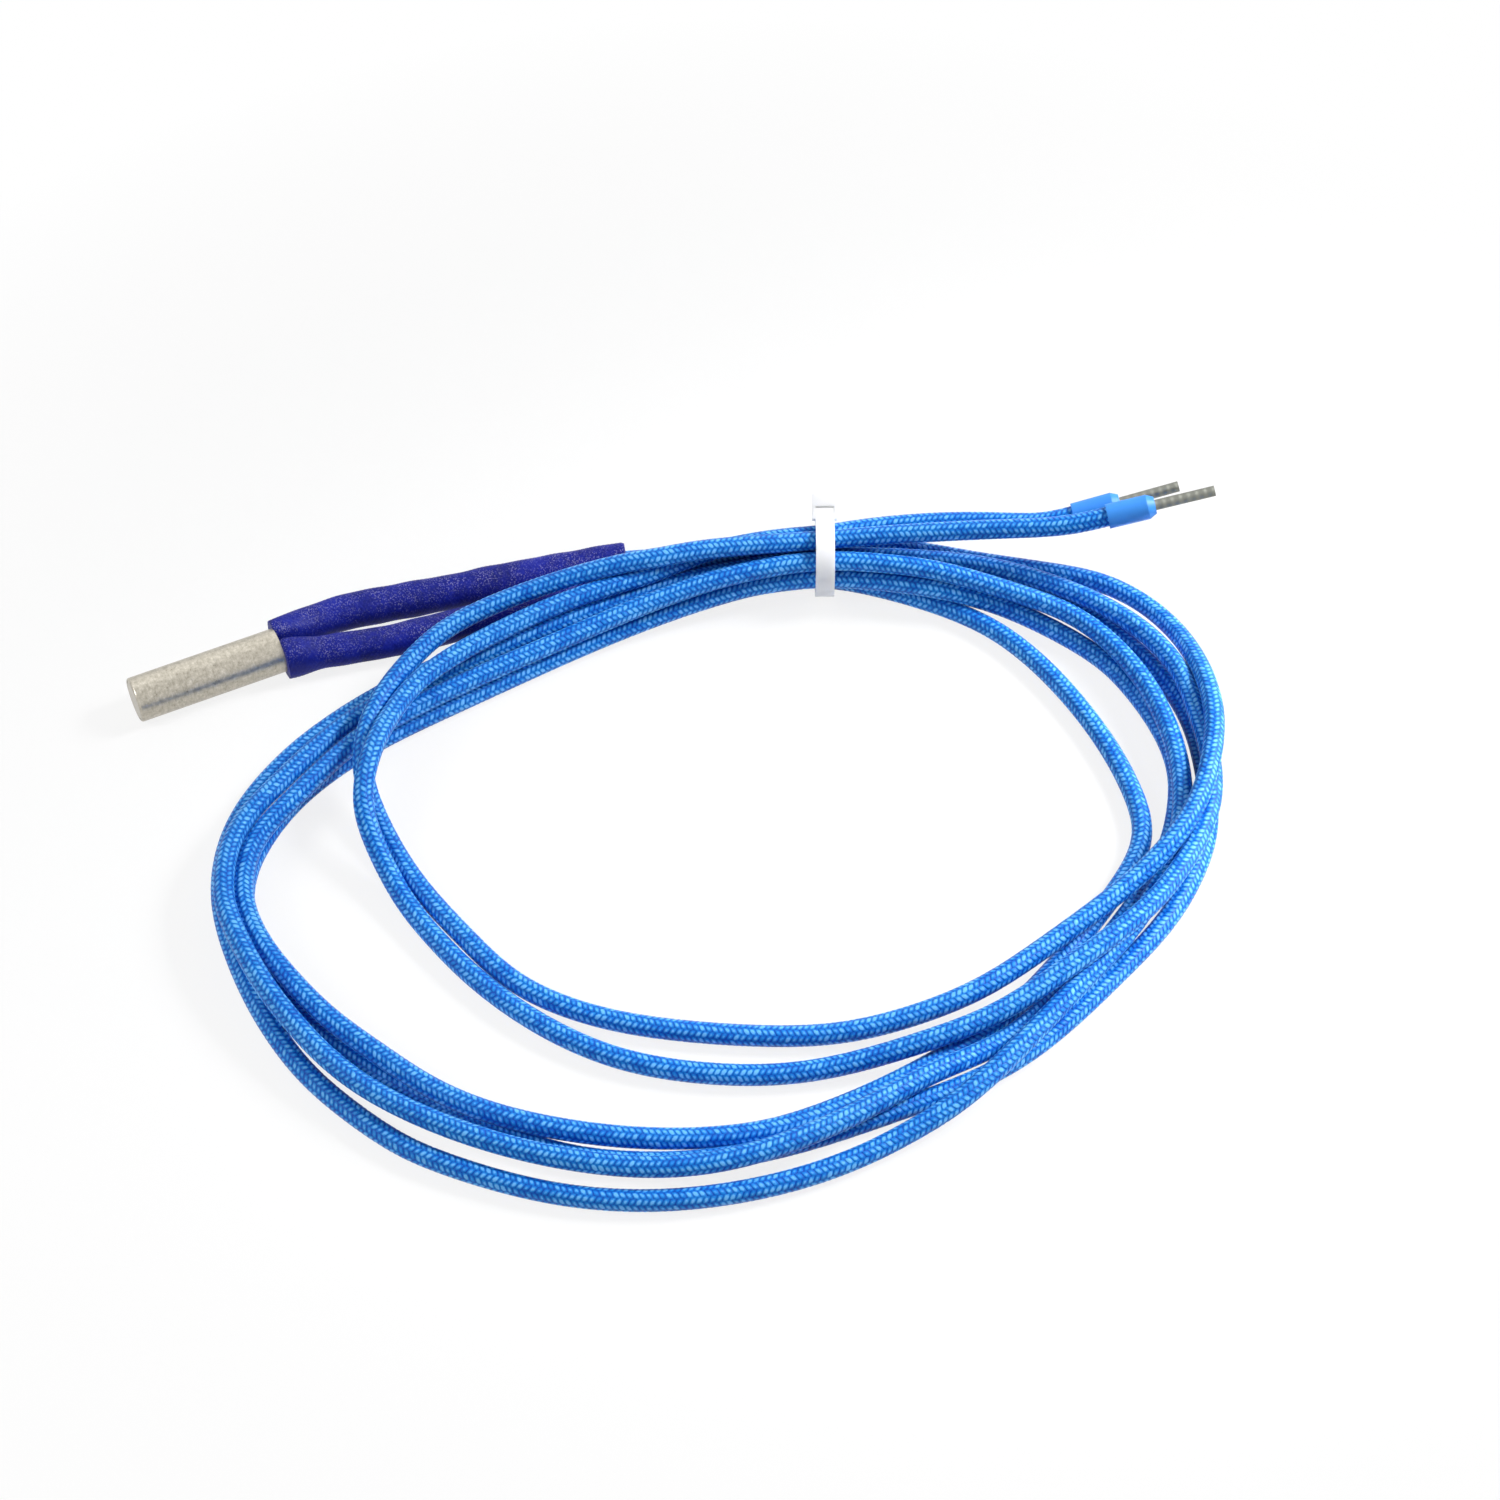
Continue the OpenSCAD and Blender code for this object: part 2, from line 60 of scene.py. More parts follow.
ROUTE_A = [
    (10, -1.6, 3),
    (15, -2.7, 2.9), (20, -3.6, 2.5), (26, -4.7, 2.2), (33, -5.4, 2.1), (43, -6.2, 2.1), (53, -7.7, 2.1),
    (61, -8.9, 1.4), (70.5, -13.6, 1.6), (80.4, -19.7, 2.9), (86.5, -24, 1.9), (92, -29.5, 1.4),
    (97.5, -37.5, 1.4), (100, -49, 1.4), (100.4, -60, 1.4), (99.4, -68, 1.4), (97.4, -74.8, 1.4),
    (93, -79.6, 1.4), (83, -85.4, 1.4), (75.5, -89.2, 1.4), (66.5, -92.9, 1.4), (52, -95.1, 1.4),
    (40, -95, 1.4), (32, -93.8, 1.6), (20, -89.2, 2.6), (8.6, -81.6, 3.8), (2, -74, 3.9),
    (-1.6, -66.8, 3.7), (-5.6, -58.8, 3.8), (-7.6, -51.6, 4), (-8.9, -45, 4.1), (-8.8, -37.8, 4.1),
    (-5.9, -32, 4.1), (-2.4, -28.2, 4.1), (3.1, -25.2, 4.1), (12.5, -20, 4.1), (19.5, -18.5, 4.1),
    (28.5, -17, 4.1), (40.5, -16, 4.1), (52.5, -15.4, 4.6), (64, -16.2, 6.1), (73, -18.4, 7),
    (79.9, -20.7, 7.3), (86.5, -24.5, 7.3), (93, -28.5, 6.8), (99.5, -33.5, 4.9), (105.5, -39.5, 3.9),
    (108, -45.5, 3.7), (108.8, -51.7, 3.9), (108.7, -57.7, 3.9), (106.9, -66.5, 4), (103.2, -74.4, 4),
    (98.4, -80.9, 3.6), (91, -86.4, 3.3), (84.5, -90.3, 3.6), (77, -93.7, 4), (66, -98.6, 4.2),
    (57, -101.6, 3.2), (49, -102, 1.5), (42, -102.4, 1.4), (32.5, -101.5, 1.4), (20.5, -98, 1.4),
    (9, -91.5, 1.4), (-1, -81.5, 1.4), (-5, -76, 1.4), (-9, -67.5, 1.4), (-11, -61, 1.4), (-12.2, -52, 1.4),
    (-12, -43, 1.4), (-10.8, -34.5, 1.4), (-7.3, -27.2, 1.4), (-2.5, -21.6, 1.4), (4.5, -17, 1.4),
    (10.5, -14.4, 1.4), (18.5, -12, 1.4), (29.5, -10.3, 1.4), (40, -10.6, 1.4), (51, -11.5, 1.6),
    (60.3, -10.3, 4), (71.3, -12.2, 4.8), (82.3, -15.8, 4.9), (89.5, -19, 3.9), (96, -22.8, 3),
    (100.5, -26, 2.4), (109, -32.4, 2.4), (113.5, -36.5, 2.4), (116.5, -42, 2.4), (117.5, -47.5, 2.8),
    (117, -53, 4.1), (115.5, -59, 5.7), (113.2, -64.8, 6.7), (110.2, -69.8, 6.9), (104, -77, 7.1),
    (97, -81.4, 6.6), (88.9, -84.2, 5), (77, -87, 4.4), (68.5, -88.8, 4.2), (60.8, -88.8, 3.4),
    (50.5, -86.7, 1.8), (42, -83, 1.4), (31, -76.5, 1.4), (23.5, -70.5, 1.4), (17, -62.5, 1.4),
    (14.5, -53.5, 1.4), (12.5, -46, 1.4), (11.5, -38.5, 1.4), (11.3, -31, 2.6), (11.8, -26, 4.6),
    (13.8, -21.8, 6.6), (17.2, -17.8, 7), (21, -14.6, 6.9), (25.6, -11.8, 6.9), (32, -9, 7),
    (43.8, -8.8, 7.7), (54.3, -11, 9.4), (59.5, -12.5, 9.5), (65.2, -13.3, 9.3), (75, -16.4, 8.8),
    (81, -18.5, 8.5), (86, -20.5, 8.9), (95, -24.9, 9.8), (102, -28.9, 11), (109, -32.8, 11.8),
    (114.4, -34.8, 13.1), (118, -36.1, 14),
]
ROUTE_B = [
    (10, 1.6, 3),
    (15, 2.8, 2.9), (20, 2.9, 2.6), (25, 2.2, 2.3), (30.5, 1.3, 2.1), (36, 0.2, 2.1), (42, -0.9, 2.1),
    (49, -2.5, 2.1), (59.5, -4.6, 2.1), (71.8, -11.1, 1.6), (81.6, -17.3, 2.9), (88, -21.4, 1.9),
    (95, -25.8, 1.4), (101, -30.8, 1.4), (107, -37, 1.4), (110, -42, 1.4), (112.5, -51, 1.4),
    (112.5, -60.5, 1.4), (109.5, -69.5, 1.4), (105, -78.5, 1.4), (98.5, -84.5, 1.4), (93, -88.3, 1.4),
    (87.5, -91, 1.4), (81, -93.6, 1.4), (74.5, -96, 1.4), (63.5, -99.2, 1.4), (50, -98.4, 1.4),
    (38, -97.6, 1.4), (26.5, -95, 1.4), (15.5, -89.5, 1.4), (9.5, -84, 1.4), (4, -78, 1.4), (-2, -69, 1.4),
    (-6, -61.2, 1.4), (-8.6, -54, 1.4), (-9.4, -45, 1.4), (-8.6, -37.7, 1.4), (-5.8, -30.9, 1.4),
    (2.7, -23.6, 1.4), (12.5, -20, 1.4), (19.5, -18.5, 1.4), (26, -17.7, 1.4), (34.5, -16.8, 1.4),
    (46, -15.8, 1.5), (58, -15.7, 2.2), (69, -17.3, 3.6), (74, -19.1, 4.2), (79.6, -21.3, 4.7),
    (86, -25, 4.6), (92.5, -29.7, 4.5), (99.5, -34, 2.1), (104.5, -41.5, 1.4), (107.1, -47.5, 1.4),
    (108, -52.5, 1.4), (108.1, -60, 1.4), (106.7, -67.6, 1.4), (102.8, -74, 1.4), (97.4, -80, 1.4),
    (89.6, -85.2, 1.4), (76.5, -92, 1.4), (66, -95.9, 1.5), (55, -96.5, 3.5), (45, -98.5, 4.2),
    (30, -98, 4), (18, -93.5, 4), (5.5, -84, 4), (-3.5, -73, 4), (-7.5, -65, 4.1), (-9.5, -58.5, 4.5),
    (-11, -52, 5.1), (-11.4, -45.5, 5.4), (-11.3, -40.5, 5.4), (-10.6, -36.5, 5.3), (-7.9, -30.7, 5.6),
    (-3.6, -26, 5), (1.5, -22.7, 4.4), (8.1, -18.7, 3.8), (15.5, -15.3, 3.3), (25.5, -13.8, 3.2),
    (36, -13.2, 3.9), (47.7, -12.7, 4.4), (59.4, -13, 4.4), (70.2, -15.1, 4.8), (81, -18.5, 5.5),
    (88, -21.8, 5.1), (95.5, -25.4, 4.4), (101.8, -29.8, 4.1), (107.3, -36.2, 4.1), (110.5, -41.2, 4.1),
    (113, -47, 4.1), (114, -53, 4.1), (113.5, -58.5, 4.1), (112, -63.5, 4.1), (110.5, -68.5, 4.1),
    (106.5, -76.5, 4.5), (100, -82.2, 5.1), (95, -85.5, 5.4), (89.8, -88.4, 5.9), (83.2, -90.6, 6.5),
    (75.5, -92.2, 6), (66.2, -93.6, 4.6), (57.5, -92.9, 4.1), (48, -90.7, 2), (39.5, -88, 1.4),
    (30.5, -83, 1.4), (23, -77, 1.4), (17, -68.5, 1.4), (13, -59.5, 1.4), (11, -52, 1.4), (9.6, -45.5, 1.6),
    (9.2, -39, 3), (9.2, -34.5, 4.9), (10, -30.8, 6.5), (12.1, -27.4, 7.8), (14.9, -23.9, 8.2),
    (18.1, -20.6, 7.4), (23, -16.4, 6.9), (30, -14.1, 6.8), (36.5, -12.9, 6.8), (42.5, -12.2, 6.9),
    (48.3, -11.9, 6.9), (53.9, -12.1, 6.9), (59.4, -12.6, 6.9), (66.2, -11.9, 6.9), (75.8, -14.2, 7.3),
    (82, -16.6, 7.3), (87, -18, 7.7), (96, -21.6, 8.2), (103, -25.6, 8.8), (107.7, -28.8, 9.3),
    (112, -30.4, 10.3), (115.6, -31.6, 11.3),
]
LEAD_D = 2.6
LEAD_LOW = 1.25
RING_STEP = 0.33
FLOOR_GAP = 0.02

# Braid of the leads: stitches in columns that lean to one side and the other in turn

BRAID_COLUMNS = 10
COLUMN_SIDES = 3
BRAID_PITCH = 0.76
BRAID_RISE = 0.075
BRAID_MEAN = 0.6
BRAID_LEAN = 0.5
BRAID_FULLNESS = 0.3


def smooth(route, per=16):
    """Points of a smooth curve along a route, with their lengths along it."""
    p = np.array(route, float)
    g = p.copy()
    g[2:-2, :2] += (2 * p[2:-2, :2] - p[:-4, :2] - p[4:, :2]) / 24
    q = np.vstack([2 * g[:1] - g[1:2], g, 2 * g[-1:] - g[-2:-1]])
    t = np.arange(per)[:, None] / per
    out = [((1 - t) ** 3 * q[i] + (3 * t**3 - 6 * t**2 + 4) * q[i + 1]
            + (-3 * t**3 + 3 * t**2 + 3 * t + 1) * q[i + 2] + t**3 * q[i + 3]) / 6
           for i in range(len(p) - 1)]
    pts = np.vstack(out + [p[-1:]])
    pts[:, 2] = np.maximum(pts[:, 2], LEAD_LOW)
    run = np.concatenate([[0], np.cumsum(np.linalg.norm(np.diff(pts, axis=0), axis=1))])
    return pts, run


def evenly(pts, run, step, end=None):
    """The curve's points at even steps, up to a length along it."""
    end = run[-1] if end is None else end
    s = np.linspace(0, end, max(2, int(round(end / step)) + 1))
    return np.column_stack([np.interp(s, run, pts[:, k]) for k in range(3)]), s


def frames(pts):
    """Side and up at each point of a curve, which leaves the sheath squarely."""
    t = np.gradient(pts, axis=0)
    t[0] = (1, 0, 0)
    t /= np.linalg.norm(t, axis=1)[:, None]
    side = np.cross((0, 0, 1), t)
    side /= np.linalg.norm(side, axis=1)[:, None]
    return side, np.cross(t, side)


def around(ring, side, up, flat):
    """Places in space of the points of flat sections, one section at each ring."""
    return ring[:, None, :] + flat[..., :1] * side[:, None, :] + flat[..., 1:] * up[:, None, :]


def mesh_from(name, verts, faces, uvs):
    """A smooth-shaded mesh object from millimetres, with one UV per face corner."""
    me = bpy.data.meshes.new(name)
    me.vertices.add(len(verts))
    me.vertices.foreach_set("co", (np.asarray(verts) * MM).ravel())
    flat = np.concatenate([np.asarray(f).ravel() for f in faces])
    sizes = np.concatenate([np.full(len(f), np.asarray(f).shape[1]) for f in faces])
    me.loops.add(len(flat))
    me.loops.foreach_set("vertex_index", flat.astype(np.int32))
    me.polygons.add(len(sizes))
    starts = np.concatenate([[0], np.cumsum(sizes)[:-1]])
    me.polygons.foreach_set("loop_start", starts.astype(np.int32))
    me.polygons.foreach_set("use_smooth", np.ones(len(sizes), bool))
    layer = me.uv_layers.new(name="along")
    layer.uv.foreach_set("vector", np.asarray(uvs, np.float32).ravel())
    me.update(calc_edges=True)
    me.validate()
    ob = bpy.data.objects.new(name, me)
    bpy.context.scene.collection.objects.link(ob)
    return ob


def quads(rings, n):
    """Faces between successive rings of n points, with the ring and column of each."""
    r, k = np.meshgrid(np.arange(rings - 1), np.arange(n), indexing="ij")
    a = r * n + k
    b = r * n + (k + 1) % n
    return np.stack([a, b, b + n, a + n], -1).reshape(-1, 4), r.ravel(), k.ravel()


def quad_uv(r, k, u_of, v_of):
    """UVs of those faces' corners, from functions of the column and the ring."""
    corners = ((k, r), (k + 1, r), (k + 1, r + 1), (k, r + 1))
    return np.stack([np.stack([u_of(c), v_of(g)], -1) for c, g in corners], 1).reshape(-1, 2)


def braid_height(u, v):
    """Height of the braid from 0 to 1, where u counts columns round and v pitches along."""
    col = np.floor(u + 1e-6)
    t = u - col - 0.5
    lean = np.where(col % 2 < 1, 1.0, -1.0)
    w = v + BRAID_LEAN * lean * t + 0.5 * (col % 2)
    along = (0.5 + 0.5 * np.cos(2 * math.pi * w)) ** BRAID_FULLNESS
    return (0.5 + 0.5 * np.cos(math.pi * t)) * along


def lead(name, route, twist):
    """A braided lead, its path and its length: the tube's surface rises at each stitch."""
    pts, run = smooth(route)
    ring, s = evenly(pts, run, RING_STEP)
    side, up = frames(ring)
    n = COLUMN_SIDES * BRAID_COLUMNS
    k = np.arange(n)
    turn = twist * s / run[-1] * 2 * math.pi
    ang = 2 * math.pi * k[None, :] / n + turn[:, None]
    v = s / BRAID_PITCH
    h = braid_height(k[None, :] / COLUMN_SIDES, v[:, None])
    rad = LEAD_D / 2 + BRAID_RISE * (h - BRAID_MEAN)
    flat = rad[..., None] * np.stack([np.cos(ang), np.sin(ang)], -1)
    verts = around(ring, side, up, flat).reshape(-1, 3)
    verts[:, 2] = np.maximum(verts[:, 2], FLOOR_GAP)
    f, r, c = quads(len(ring), n)
    uv = quad_uv(r, c, lambda q: q / COLUMN_SIDES, lambda q: v[q])
    caps = [k[::-1][None, :], (len(ring) - 1) * n + k[None, :]]
    uv = np.vstack([uv, np.zeros((2 * n, 2))])
    return mesh_from(name, verts, [f] + caps, uv), ring, run[-1]


lead_a, path_a, len_a = lead("lead_a_braid", ROUTE_A, 2.5)
lead_b, path_b, len_b = lead("lead_b_braid", ROUTE_B, -2.0)

# Sleeves, pressed on the sheath and round further out

SLEEVE_D, SLEEVE_BORE, SLEEVE_SIDES = 4.2, 2.7, 64
LEAD_PITCH, LOBE_W, LOBE_H, LOBE_RUN = 3.2, 7.8, 5.7, 6.0
SLEEVE_STEP = 0.14
X_LEAD = 10.0
BROAD_WAY, THIN_WAY = np.array([0.766, 0.643]), np.array([-0.643, 0.766])

# Weave under the coating, and the sleeve's uneven girth as shares and wavelengths

WEAVE_PITCH, WEAVE_ROUND, WEAVE_RISE = 0.55, 16, 0.026
GIRTH_SHARES, GIRTH_WAVES = (0.02, 0.015, 0.012), (17, 9, 5)
EDGE_RUN, EDGE_DROP = 0.35, 0.05
SLEEVE_UV = 10


def bend(t, power):
    """A power that keeps the sign, which squares a section off."""
    return np.sign(t) * np.abs(t) ** power


def sleeve(name, route, out, reach, seed, broad):
    """A sleeve swept along the start of a route, with a woven skin, lying a little flattened."""
    rng = np.random.default_rng(seed)
    pts, run = smooth(route)
    upto = np.argmax(pts[:, 0] > X_LEAD + reach) + 1
    end = np.interp(X_LEAD + reach, pts[:upto, 0], run[:upto])
    ring, s = evenly(pts, run, SLEEVE_STEP, end)
    side, up = frames(ring)
    n = SLEEVE_SIDES
    ang = 2 * math.pi * np.arange(n) / n
    unit = np.stack([np.cos(ang), np.sin(ang)], -1)
    c, q = np.cos(ang) * out, np.sin(ang)
    inner, outer = LEAD_PITCH / 2 - 0.05, (LOBE_W - LEAD_PITCH) / 2
    lobe = np.stack([out * np.where(c > 0, outer * bend(c, 0.8), inner * bend(c, 0.45)),
                     LOBE_H / 2 * bend(q, 0.85)], -1)
    free = SLEEVE_D / 2 * unit
    for way, factor in ((BROAD_WAY, broad), (THIN_WAY, 1 / broad)):
        free += (factor - 1) * (free @ way)[:, None] * way
    t = np.clip(s / LOBE_RUN, 0, 1)
    t = (t * t * (3 - 2 * t))[:, None, None]
    flat = (1 - t) * lobe[None] + t * free[None]
    # the weave shows as low ribs that cross each other
    steps, turns = s[:, None] / WEAVE_PITCH, WEAVE_ROUND * ang[None, :] / (2 * math.pi)
    rib = np.maximum(np.cos(2 * math.pi * (steps + turns)), np.cos(2 * math.pi * (steps - turns)))
    slow = sum(a * np.sin(2 * math.pi * s / w + ph)
               for a, w, ph in zip(GIRTH_SHARES, GIRTH_WAVES, rng.uniform(0, 6, 3)))
    grow = 1 + WEAVE_RISE * rib + slow[:, None]
    edge = np.clip(np.minimum(s, s[-1] - s) / EDGE_RUN, 0, 1)
    grow *= (1 - EDGE_DROP * (1 - edge))[:, None]
    pos = around(ring, side, up, flat * grow[..., None])
    hole = around(ring, side, up, SLEEVE_BORE / 2 * unit[None])
    m = len(ring)
    verts = np.vstack([pos.reshape(-1, 3), hole[0], hole[-1]])
    verts[:, 2] = np.maximum(verts[:, 2], FLOOR_GAP)
    verts[:, 0] = np.maximum(verts[:, 0], X_LEAD)
    f, r, col = quads(m, n)
    k = np.arange(n)
    j = (k + 1) % n
    h0, last = m * n, (m - 1) * n
    front = np.stack([k, h0 + k, h0 + j, j], -1)
    back = np.stack([last + k, last + j, h0 + n + j, h0 + n + k], -1)
    uv = quad_uv(r, col, lambda x: x / n, lambda x: s[x] / SLEEVE_UV)
    uv = np.vstack([uv, np.zeros((8 * n, 2))])
    return mesh_from(name, verts, [f, front, back], uv)


sleeve_a = sleeve("sleeve_a_skin", ROUTE_A, -1, 44.0, 3, 1.02)
sleeve_b = sleeve("sleeve_b_skin", ROUTE_B, 1, 48.0, 8, 1.12)

for piece, node, slot in ((lead_a, "lead_a", "braid"), (lead_b, "lead_b", "braid"),
                          (sleeve_a, "sleeve_a", "sleeve"), (sleeve_b, "sleeve_b", "sleeve")):
    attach(piece, "root")
    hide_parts(node)

# Materials

FERRULE_WAY = (0.9165, -0.3182, 0.2419)
CRIMP_PITCH = 0.0011


def material(name, color, rough, metal=0.0):
    """A material with its node tree and its shader."""
    m = bpy.data.materials.new(name)
    m.use_nodes = True
    b = m.node_tree.nodes["Principled BSDF"]
    b.inputs["Base Color"].default_value = (*color, 1)
    b.inputs["Roughness"].default_value = rough
    b.inputs["Metallic"].default_value = metal
    return m, m.node_tree, b


def add(tree, kind, **values):
    """A node with its sockets or settings filled in."""
    n = tree.nodes.new(kind)
    for key, val in values.items():
        if hasattr(n, key):
            setattr(n, key, val)
        else:
            n.inputs[key].default_value = val
    return n


def calc(tree, op, a, b=None, c=None):
    """A math node on sockets or plain numbers."""
    n = tree.nodes.new("ShaderNodeMath")
    n.operation = op
    for i, v in enumerate((a, b, c)):
        if v is None:
            continue
        if isinstance(v, (int, float)):
            n.inputs[i].default_value = v
        else:
            tree.links.new(v, n.inputs[i])
    return n.outputs[0]


def ramp(tree, fac, stops):
    """A colour ramp's output, from stops of place and colour."""
    n = tree.nodes.new("ShaderNodeValToRGB")
    els = n.color_ramp.elements
    while len(els) < len(stops):
        els.new(0.5)
    for e, (p, col) in zip(els, stops):
        e.position, e.color = p, (*col, 1)
    tree.links.new(fac, n.inputs[0])
    return n.outputs["Color"]


def bump(tree, height, shader, strength, distance, after=None):
    """A bump on the shader's normal, over another one where given."""
    n = add(tree, "ShaderNodeBump", Strength=strength, Distance=distance)
    tree.links.new(height, n.inputs["Height"])
    if after is not None:
        tree.links.new(after, n.inputs["Normal"])
    tree.links.new(n.outputs[0], shader.inputs["Normal"])
    return n.outputs[0]


def noise(tree, coord, scale, detail=3.0, rough=0.6):
    """A noise texture's value."""
    n = add(tree, "ShaderNodeTexNoise", Scale=scale, Detail=detail, Roughness=rough)
    tree.links.new(coord, n.inputs["Vector"])
    return n.outputs["Fac"]


def varied(tree, tone, value, share):
    """A tone moved up or down by a share of a value that lies around a half."""
    return calc(tree, "MULTIPLY_ADD", calc(tree, "SUBTRACT", value, 0.5), share, tone)


def along_uv(tree):
    """The places round and along a swept piece."""
    uv = add(tree, "ShaderNodeUVMap", uv_map="along")
    sep = tree.nodes.new("ShaderNodeSeparateXYZ")
    tree.links.new(uv.outputs[0], sep.inputs[0])
    return sep.outputs[0], sep.outputs[1]


def braid_material():
    """Blue braid: slanted stitches in columns, each a little different, with painted shade in the gaps
    between them and painted highlights on the stitch tops.
    """
    m, t, b = material("braid_blue", (0.02, 0.22, 0.72), 0.42)
    u, v = along_uv(t)
    col = calc(t, "FLOOR", u)
    across = calc(t, "SUBTRACT", calc(t, "SUBTRACT", u, col), 0.5)
    odd = calc(t, "MODULO", col, 2.0)
    lean = calc(t, "MULTIPLY_ADD", odd, -2.0, 1.0)
    w = calc(t, "ADD", v, calc(t, "MULTIPLY", calc(t, "MULTIPLY", lean, BRAID_LEAN), across))
    w = calc(t, "MULTIPLY_ADD", odd, 0.5, w)
    wave_w = calc(t, "COSINE", calc(t, "MULTIPLY", w, 2 * math.pi))
    wave_across = calc(t, "COSINE", calc(t, "MULTIPLY", across, math.pi))
    along = calc(t, "POWER", calc(t, "MULTIPLY_ADD", wave_w, 0.5, 0.5), BRAID_FULLNESS)
    height = calc(t, "MULTIPLY", along, calc(t, "MULTIPLY_ADD", wave_across, 0.5, 0.5))
    cell = t.nodes.new("ShaderNodeCombineXYZ")
    t.links.new(col, cell.inputs[0])
    t.links.new(calc(t, "ROUND", w), cell.inputs[1])
    stitch = add(t, "ShaderNodeTexWhiteNoise", noise_dimensions="2D")
    t.links.new(cell.outputs[0], stitch.inputs["Vector"])
    obj = add(t, "ShaderNodeTexCoord").outputs["Object"]
    patch = noise(t, obj, 200.0, 2.0)
    fine = noise(t, obj, 4200.0, 2.0)
    # The colour follows the stitch height: painted shade where the stitches dip apart and painted highlight
    # on their tops, with random patches and stitch-to-stitch tone over it
    tone = varied(t, height, patch, 0.45)
    tone = varied(t, tone, fine, 0.5)
    tone = varied(t, tone, stitch.outputs["Value"], 0.35)
    # Ramp from dark navy painted shade in the gaps to the pale painted glint of the highest, lightest
    # stitches
    color = ramp(t, tone, [(0.2, (0.0015, 0.056, 0.42)), (0.52, (0.0045, 0.144, 0.585)),
                           (0.76, (0.016, 0.238, 0.69)), (1.0, (0.15, 0.47, 0.88))])
    t.links.new(color, b.inputs["Base Color"])
    b.inputs["Specular IOR Level"].default_value = 0.3
    b.inputs["Specular Tint"].default_value = (0.5, 0.8, 1.0, 1.0)
    b.inputs["Sheen Weight"].default_value = 0.05
    b.inputs["Sheen Roughness"].default_value = 0.3
    b.inputs["Sheen Tint"].default_value = (0.45, 0.75, 1.0, 1.0)
    bump(t, height, b, 0.6, 0.00012)
    return m


def sleeve_material():
    """Dark blue coated sleeve: a leathery grain over a fine weave, with pale dust on it."""
    m, t, b = material("sleeve_blue", (0.01, 0.008, 0.25), 0.48)
    obj = add(t, "ShaderNodeTexCoord").outputs["Object"]
    grain = noise(t, obj, 1900.0, 4.0, 0.75)
    broad = noise(t, obj, 180.0, 3.0)
    base = ramp(t, varied(t, broad, grain, 0.9),
                [(0.25, (0.002, 0.006, 0.13)), (0.5, (0.0035, 0.009, 0.215)),
                 (0.8, (0.008, 0.019, 0.33))])
    b.inputs["Specular IOR Level"].default_value = 0.2
    u, v = along_uv(t)
    turns = calc(t, "MULTIPLY", u, 2 * math.pi * WEAVE_ROUND)
    steps = calc(t, "MULTIPLY", v, 2 * math.pi * SLEEVE_UV / WEAVE_PITCH)
    weave = calc(t, "MAXIMUM", calc(t, "COSINE", calc(t, "ADD", steps, turns)),
                 calc(t, "COSINE", calc(t, "SUBTRACT", steps, turns)))
    dots = add(t, "ShaderNodeTexVoronoi", Scale=4200.0, feature="F1")
    t.links.new(obj, dots.inputs["Vector"])
    speck = calc(t, "MULTIPLY", calc(t, "LESS_THAN", dots.outputs["Distance"], 0.4),
                 calc(t, "MULTIPLY_ADD", weave, 0.4, 0.6))
    rare = ramp(t, noise(t, obj, 420.0, 4.0, 0.7),
                [(0.38, (0.05, 0.05, 0.05)), (0.66, (1, 1, 1))])
    geo = t.nodes.new("ShaderNodeNewGeometry")
    facing = t.nodes.new("ShaderNodeSeparateXYZ")
    t.links.new(geo.outputs["Normal"], facing.inputs[0])
    top = calc(t, "MULTIPLY", calc(t, "MAXIMUM", facing.outputs["Z"], 0.0), 0.6)
    dust = calc(t, "MULTIPLY", calc(t, "MULTIPLY", speck, rare), top)
    mix = add(t, "ShaderNodeMix", data_type="RGBA")
    t.links.new(dust, mix.inputs[0])
    t.links.new(base, mix.inputs[6])
    mix.inputs[7].default_value = (0.38, 0.37, 0.6, 1)
    t.links.new(mix.outputs[2], b.inputs["Base Color"])
    bump(t, grain, b, 0.6, 0.00012)
    return m


def steel_material():
    """Ground steel: matt and grainy, with fine rings and a little warmth."""
    m, t, b = material("sheath_steel", (0.62, 0.59, 0.52), 0.36, 1.0)
    obj = add(t, "ShaderNodeTexCoord").outputs["Object"]
    stretch = add(t, "ShaderNodeMapping", Scale=(6.0, 1.0, 1.0))
    t.links.new(obj, stretch.inputs[0])
    lines = noise(t, stretch.outputs[0], 900.0, 4.0, 0.7)
    spots = noise(t, obj, 1700.0, 4.0, 0.75)
    tone = calc(t, "MULTIPLY_ADD", spots, 0.7, calc(t, "MULTIPLY", lines, 0.3))
    color = ramp(t, tone, [(0.3, (0.28, 0.26, 0.21)), (0.55, (0.5, 0.465, 0.395)),
                           (0.75, (0.72, 0.69, 0.625))])
    t.links.new(color, b.inputs["Base Color"])
    rough = calc(t, "MULTIPLY_ADD", spots, 0.36, 0.16)
    t.links.new(rough, b.inputs["Roughness"])
    bump(t, tone, b, 0.3, 0.00006)
    return m


def tinned_material():
    """Tinned copper tube: dull, with crimp dents along the ferrules' common heading."""
    m, t, b = material("tinned_copper", (0.22, 0.226, 0.2), 0.5, 1.0)
    obj = add(t, "ShaderNodeTexCoord").outputs["Object"]
    axis = add(t, "ShaderNodeVectorMath", operation="DOT_PRODUCT")
    t.links.new(obj, axis.inputs[0])
    axis.inputs[1].default_value = FERRULE_WAY
    dent = calc(t, "COSINE", calc(t, "MULTIPLY", axis.outputs["Value"], 2 * math.pi / CRIMP_PITCH))
    grain = bump(t, noise(t, obj, 1800.0), b, 0.3, 0.00006)
    bump(t, dent, b, 0.4, 0.0001, grain)
    return m


